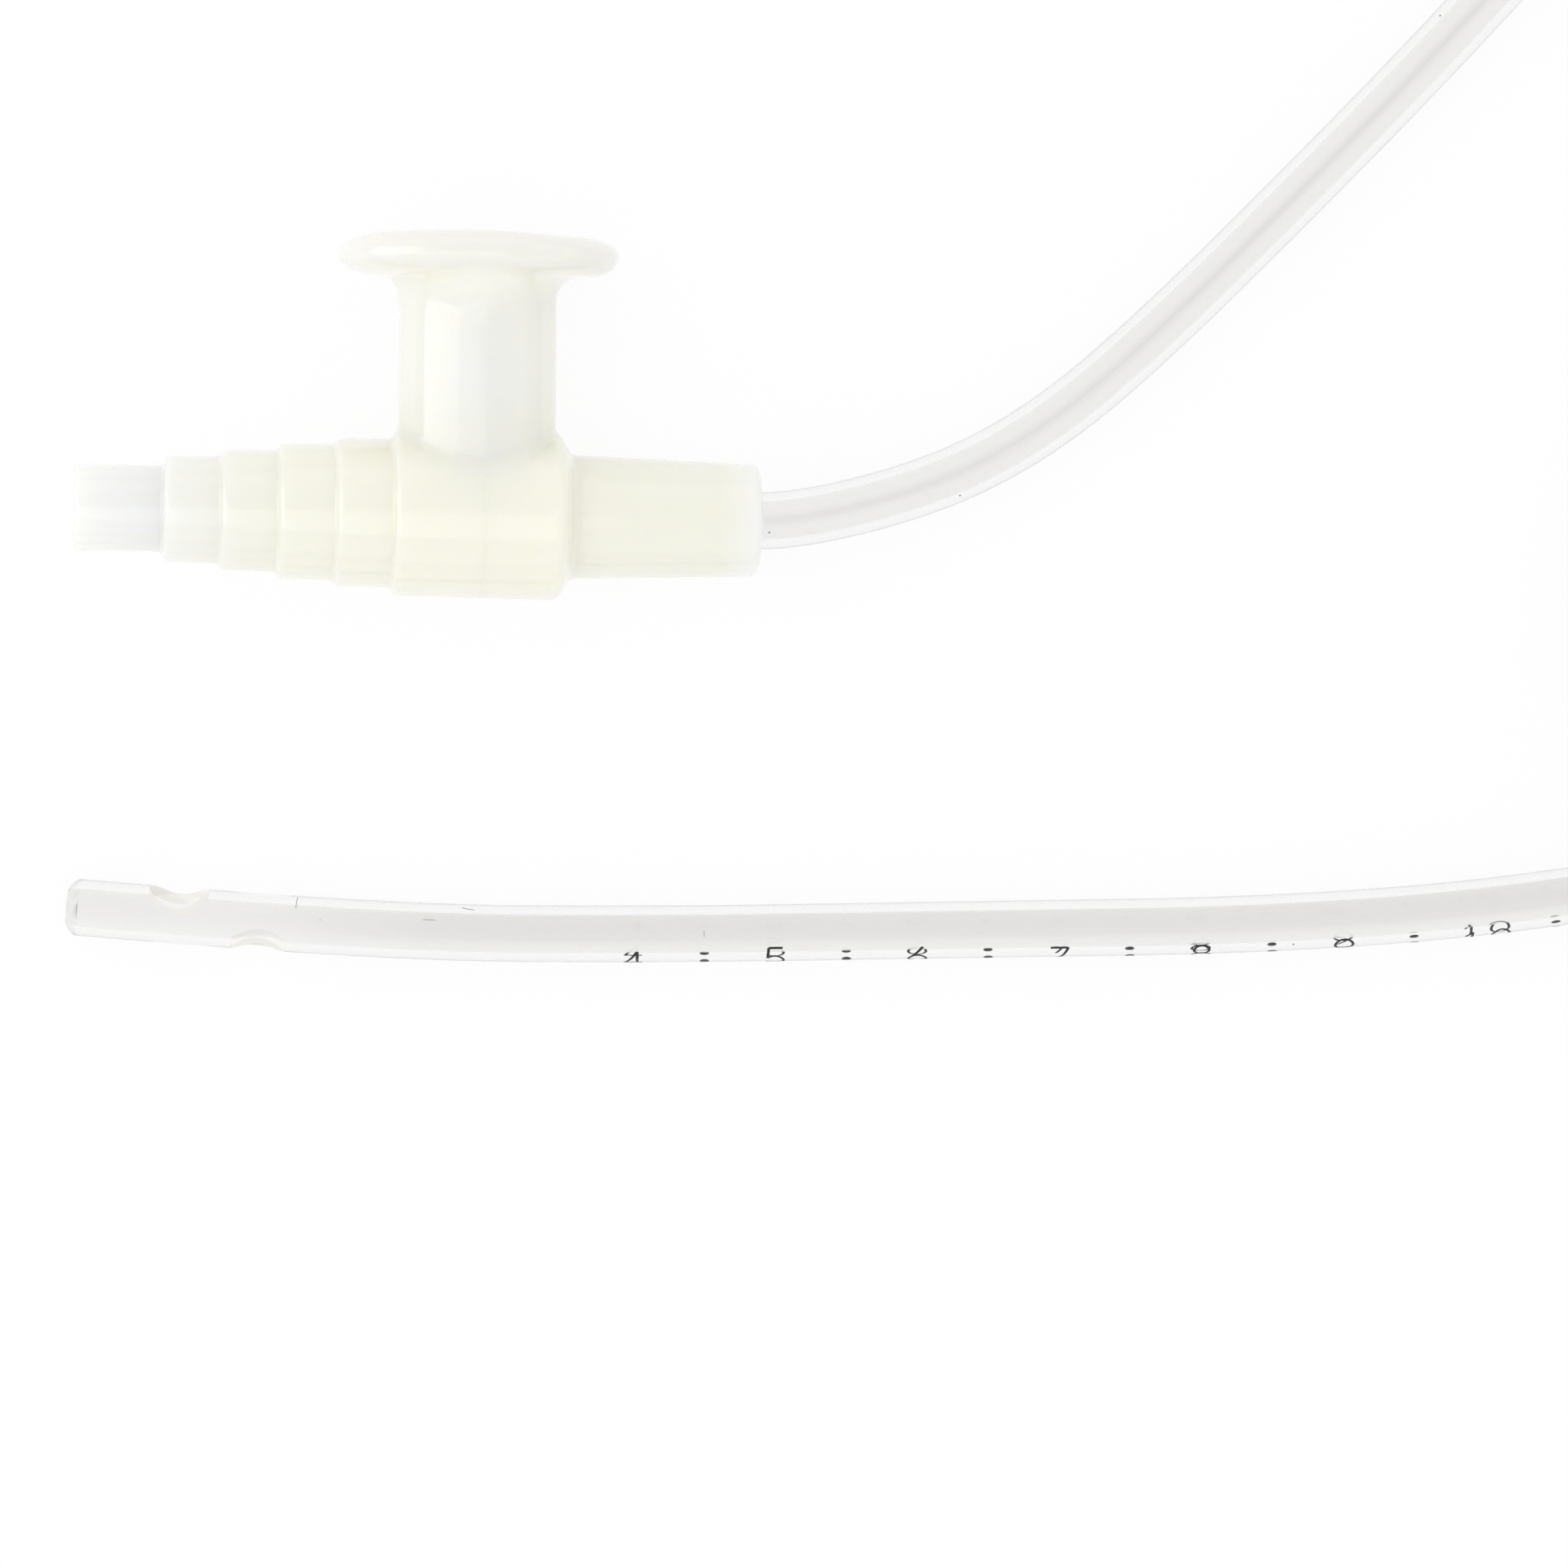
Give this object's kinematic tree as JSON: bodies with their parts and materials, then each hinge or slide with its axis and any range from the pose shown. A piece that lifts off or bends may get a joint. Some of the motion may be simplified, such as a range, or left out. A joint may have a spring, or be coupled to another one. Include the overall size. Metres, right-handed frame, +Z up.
{
  "type": "suction catheter",
  "caption": "Clear round tube with a rounded open tip and two side eyes, bonded into a stepped hose connector with an oval thumb port.",
  "frame": {"origin": "bottom centre of the connector's bounding box, as the catheter lies on a table", "axes": "+X along the connector from its stepped nozzle to its sleeve, +Y the way the thumb port faces, +Z up from the table"},
  "size_m": [0.1673, 0.0837, 0.0147],
  "materials": {
    "connector_plastic": "gloss",
    "clear_tube": "gloss",
    "depth_ink": "matt"
  },
  "bodies": {
    "root": {"control_connector": "connector_plastic", "catheter_tube": "clear_tube"}
  },
  "joints": []
}
